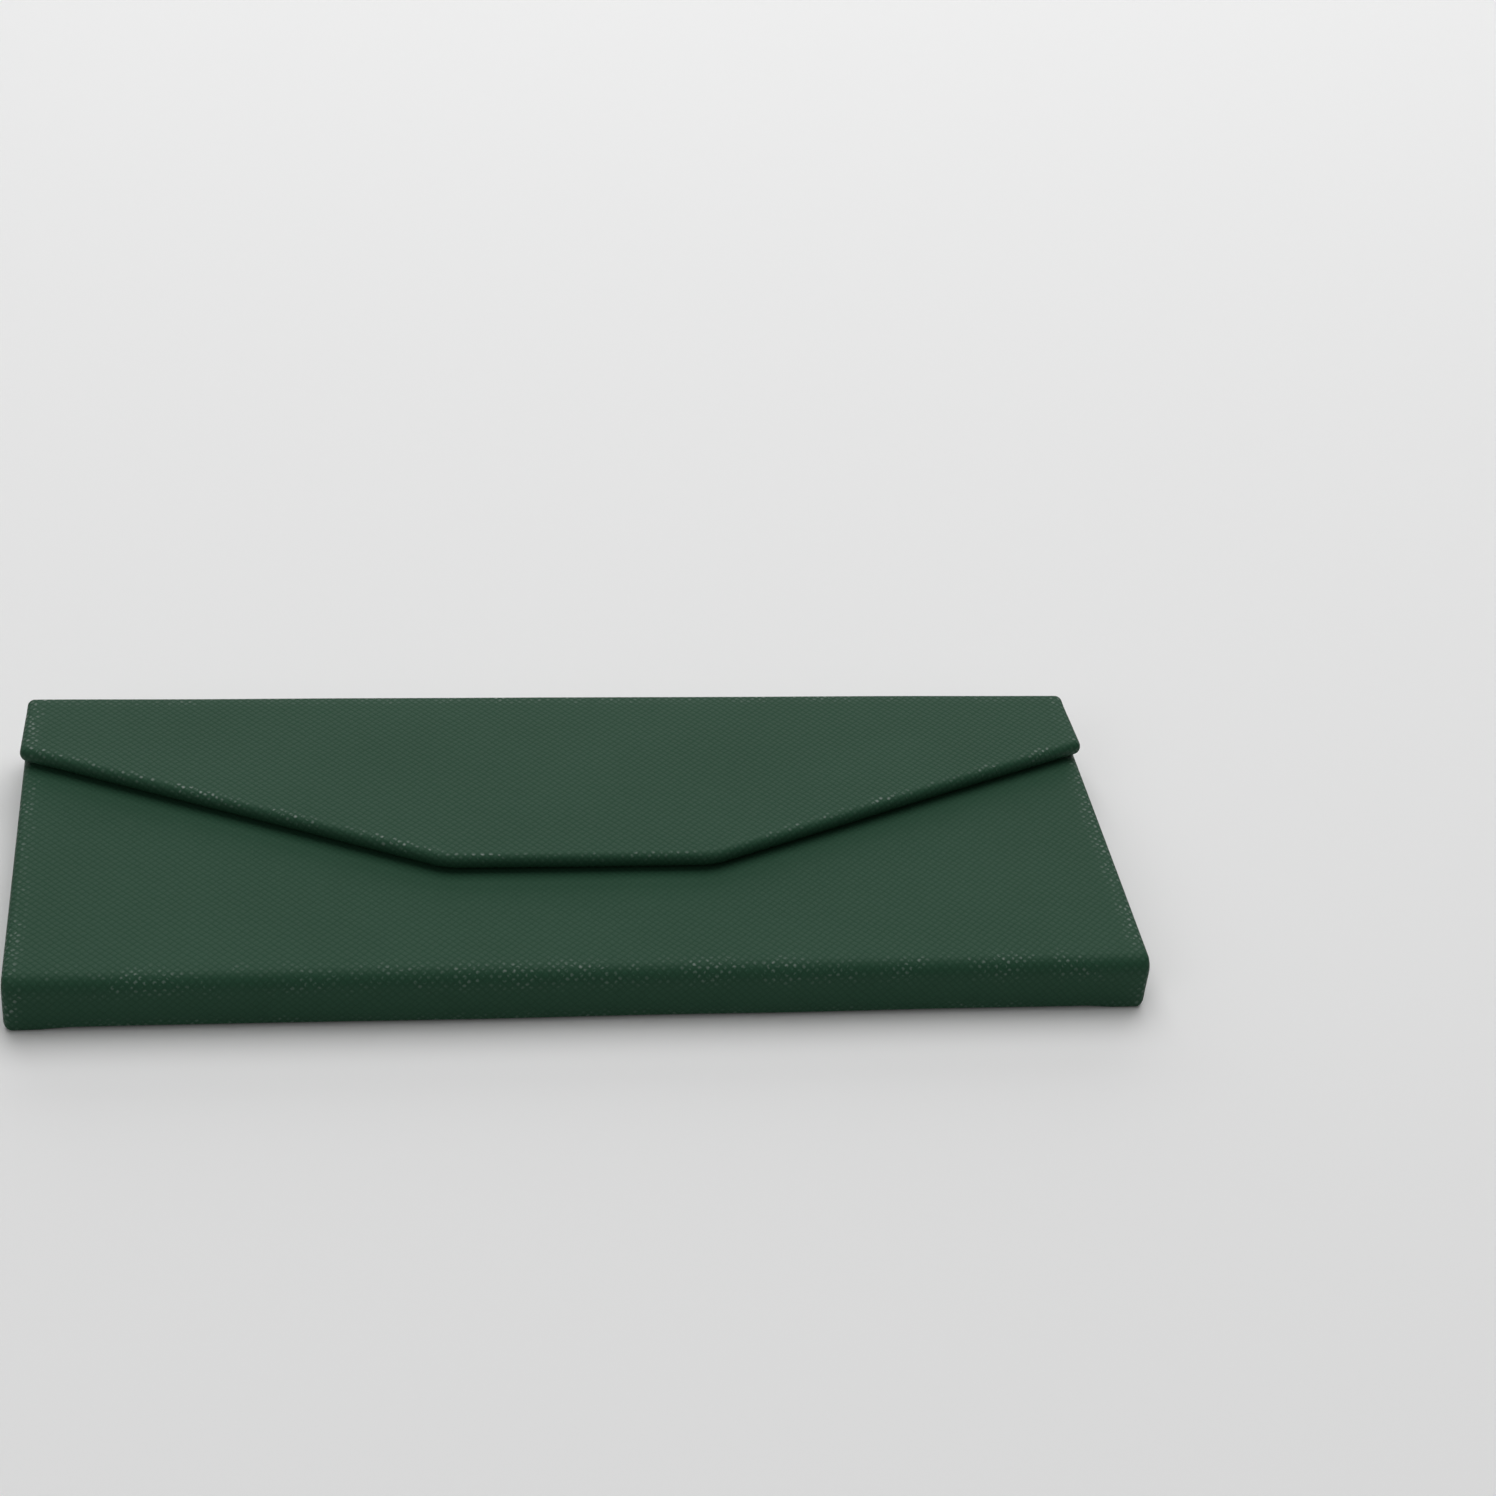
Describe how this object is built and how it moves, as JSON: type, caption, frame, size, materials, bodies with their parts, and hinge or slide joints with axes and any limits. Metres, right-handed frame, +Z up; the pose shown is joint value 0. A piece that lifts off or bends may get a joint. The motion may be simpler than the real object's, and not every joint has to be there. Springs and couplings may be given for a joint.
{
  "type": "folding glasses case",
  "caption": "Fold-flat glasses case in embossed leather, lying folded, with a tapered magnetic flap hinged over an upright ridge.",
  "frame": {"origin": "middle of the footprint of the folded case, on the table", "axes": "+X along the length, +Y from the rounded spine to the ridge, +Z up through the folded panels"},
  "size_m": [0.161, 0.063, 0.0113],
  "materials": {
    "leather": "dark green cross-hatch embossed, matt with a slight sheen on the edges",
    "board": "grey board",
    "lining": "short-pile microfibre",
    "magnet": "nickel plated"
  },
  "bodies": {
    "case_body": {"body_wrap": "leather", "inner_cover": "leather", "gusset_left_lower_leaf": "leather", "gusset_left_upper_leaf": "leather", "gusset_left_fold": "leather", "gusset_right_lower_leaf": "leather", "gusset_right_upper_leaf": "leather", "gusset_right_fold": "leather", "lid_board": "board", "spine_board": "board", "top_board": "board", "inner_board": "board", "lid_lining": "lining", "spine_lining": "lining", "top_lining": "lining", "inner_lining": "lining", "vertex_hinge_strip": "lining", "top_magnet_left": "magnet", "top_magnet_right": "magnet"},
    "ridge": {"ridge_wrap": "leather", "ridge_board": "board", "ridge_lining": "lining"},
    "flap": {"flap_wrap": "leather", "flap_board": "board", "flap_lining": "lining", "flap_magnet_left": "magnet", "flap_magnet_right": "magnet"}
  },
  "joints": [
    {"name": "ridge_hinge", "type": "hinge", "parent": "case_body", "child": "ridge", "pos_m": [0, 0.0315, 0], "axis": [-1, 0, 0], "range_deg": [0, 90]},
    {"name": "flap_hinge", "type": "hinge", "parent": "ridge", "child": "flap", "pos_m": [0, 0.0315, 0.0113], "axis": [-1, 0, 0], "range_deg": [0, 90]}
  ]
}
